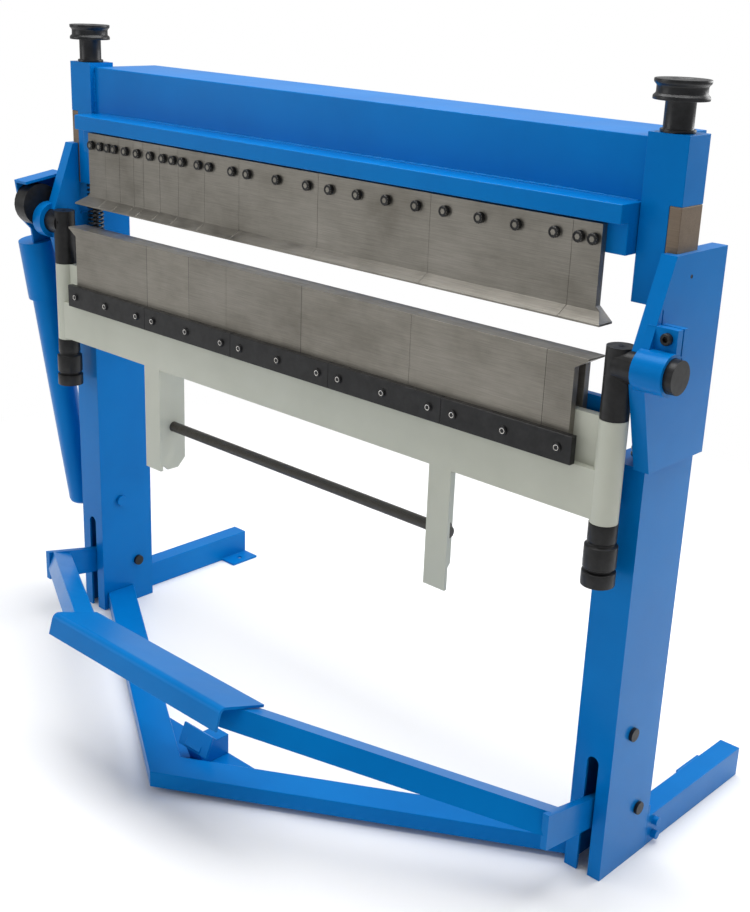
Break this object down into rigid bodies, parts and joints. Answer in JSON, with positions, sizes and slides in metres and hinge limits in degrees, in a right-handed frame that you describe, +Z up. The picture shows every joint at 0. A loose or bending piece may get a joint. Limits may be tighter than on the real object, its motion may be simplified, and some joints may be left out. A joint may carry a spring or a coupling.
{
  "type": "box and pan folding machine",
  "caption": "Free-standing foot-operated box and pan folding machine with segmented upper blades, a swinging bending beam, a spring-lifted clamp beam and a V pedal.",
  "frame": {"origin": "on the floor, under the middle of the whole machine's outer box", "axes": "+X to the operator's right along the blades, +Y away from the operator to the rear, +Z up"},
  "size_m": [1.599, 0.865, 1.2688],
  "materials": {
    "blue_enamel": "gloss enamel",
    "light_enamel": "satin enamel",
    "ground_steel": "ground",
    "worn_steel": "bare, rubbed",
    "blackened_steel": "black oxide",
    "black_spring_wire": "gloss black"
  },
  "bodies": {
    "frame": {"left_column": "blue_enamel", "right_column": "blue_enamel", "left_side_plate": "blue_enamel", "right_side_plate": "blue_enamel", "bed_beam": "blue_enamel", "bed_clamp_strip": "blue_enamel", "bed_blade_1": "ground_steel", "bed_blade_2": "ground_steel", "bed_blade_3": "ground_steel", "left_rear_foot": "blue_enamel", "right_rear_foot": "blue_enamel", "front_stretcher": "blue_enamel", "pedal_stop": "blue_enamel", "left_pedal_pivot": "blackened_steel", "right_pedal_pivot": "blackened_steel", "right_guide_bolt": "blackened_steel", "balancer_anchor_pin": "blue_enamel", "left_return_spring": "black_spring_wire", "right_return_spring": "black_spring_wire"},
    "clamp_beam_group": {"clamp_beam": "blue_enamel", "blade_holder": "blue_enamel", "left_end_box": "blue_enamel", "right_end_box": "blue_enamel", "left_guide_strip": "worn_steel", "right_guide_strip": "worn_steel", "left_pull_rod": "blackened_steel", "right_pull_rod": "blackened_steel", "upper_blade_1": "ground_steel", "upper_blade_2": "ground_steel", "upper_blade_3": "ground_steel", "upper_blade_4": "ground_steel", "upper_blade_5": "ground_steel", "upper_blade_6": "ground_steel", "upper_blade_7": "ground_steel", "upper_blade_8": "ground_steel", "upper_blade_9": "ground_steel", "upper_blade_10": "ground_steel", "upper_blade_11": "ground_steel", "upper_blade_12": "ground_steel"},
    "left_knob_body": {"left_knob": "blackened_steel"},
    "right_knob_body": {"right_knob": "blackened_steel"},
    "hinge_posts": {"left_hinge_post": "blackened_steel", "right_hinge_post": "blackened_steel", "balancer_crank": "blackened_steel"},
    "bending_beam_group": {"bending_beam": "light_enamel", "crowning_rod": "blackened_steel", "clamp_bar_1": "blackened_steel", "clamp_bar_2": "blackened_steel", "clamp_bar_3": "blackened_steel", "clamp_bar_4": "blackened_steel", "clamp_bar_5": "blackened_steel", "bending_blade_1": "ground_steel", "bending_blade_2": "ground_steel", "bending_blade_3": "ground_steel"},
    "left_nut_body": {"left_adjusting_nut": "blackened_steel"},
    "right_nut_body": {"right_adjusting_nut": "blackened_steel"},
    "pedal": {"pedal_frame": "blue_enamel", "pedal_tread": "blue_enamel"},
    "balancer_tube_body": {"balancer_tube": "blue_enamel"},
    "balancer_strap_body": {"balancer_strap": "blue_enamel"}
  },
  "joints": [
    {"name": "clamp_slide", "type": "slide", "parent": "frame", "child": "clamp_beam_group", "axis": [0, 0, -1], "range_m": [0, 0.0441], "stiffness_N_per_m": 8000, "springref_m": -0.2, "deforming": ["left_return_spring", "right_return_spring"]},
    {"name": "pedal_hinge", "type": "hinge", "parent": "frame", "child": "pedal", "pos_m": [0.0285, 0.076, 0.098], "axis": [1, 0, 0], "range_deg": [0, 20.1]},
    {"name": "left_knob_turn", "type": "hinge", "parent": "clamp_beam_group", "child": "left_knob_body", "pos_m": [-0.6485, 0.0195, 1.1978], "axis": [0, 0, 1], "continuous": true},
    {"name": "right_knob_turn", "type": "hinge", "parent": "clamp_beam_group", "child": "right_knob_body", "pos_m": [0.7055, 0.0195, 1.1978], "axis": [0, 0, 1], "continuous": true},
    {"name": "bending_hinge", "type": "hinge", "parent": "frame", "child": "hinge_posts", "pos_m": [0.0285, -0.0615, 0.8825], "axis": [-1, 0, 0], "range_deg": [0, 135]},
    {"name": "beam_height", "type": "slide", "parent": "hinge_posts", "child": "bending_beam_group", "axis": [0, 0, -1], "range_m": [0, 0.01]},
    {"name": "left_nut_turn", "type": "hinge", "parent": "bending_beam_group", "child": "left_nut_body", "pos_m": [-0.6445, -0.0615, 0.6397], "axis": [0, 0, 1], "range_deg": [0, 1210]},
    {"name": "right_nut_turn", "type": "hinge", "parent": "bending_beam_group", "child": "right_nut_body", "pos_m": [0.7015, -0.0615, 0.6397], "axis": [0, 0, 1], "range_deg": [0, 1210]},
    {"name": "balancer_swing", "type": "hinge", "parent": "frame", "child": "balancer_tube_body", "pos_m": [-0.7615, 0.0325, 0.256], "axis": [-1, 0, 0], "range_deg": [0, 3.1]},
    {"name": "balancer_slide", "type": "slide", "parent": "balancer_tube_body", "child": "balancer_strap_body", "axis": [0, 0.1484, -0.9889], "range_m": [0, 0.0205]}
  ],
  "couplings": [
    {"joint": "pedal_hinge", "follows": "clamp_slide", "rad_per_m": 7.9153},
    {"joint": "left_nut_turn", "follows": "beam_height", "rad_per_m": 2094.4},
    {"joint": "right_nut_turn", "follows": "beam_height", "rad_per_m": 2094.4},
    {"joint": "balancer_swing", "follows": "bending_hinge", "ratio": 0.022222},
    {"joint": "balancer_slide", "follows": "bending_hinge", "m_per_rad": 0.008488}
  ]
}
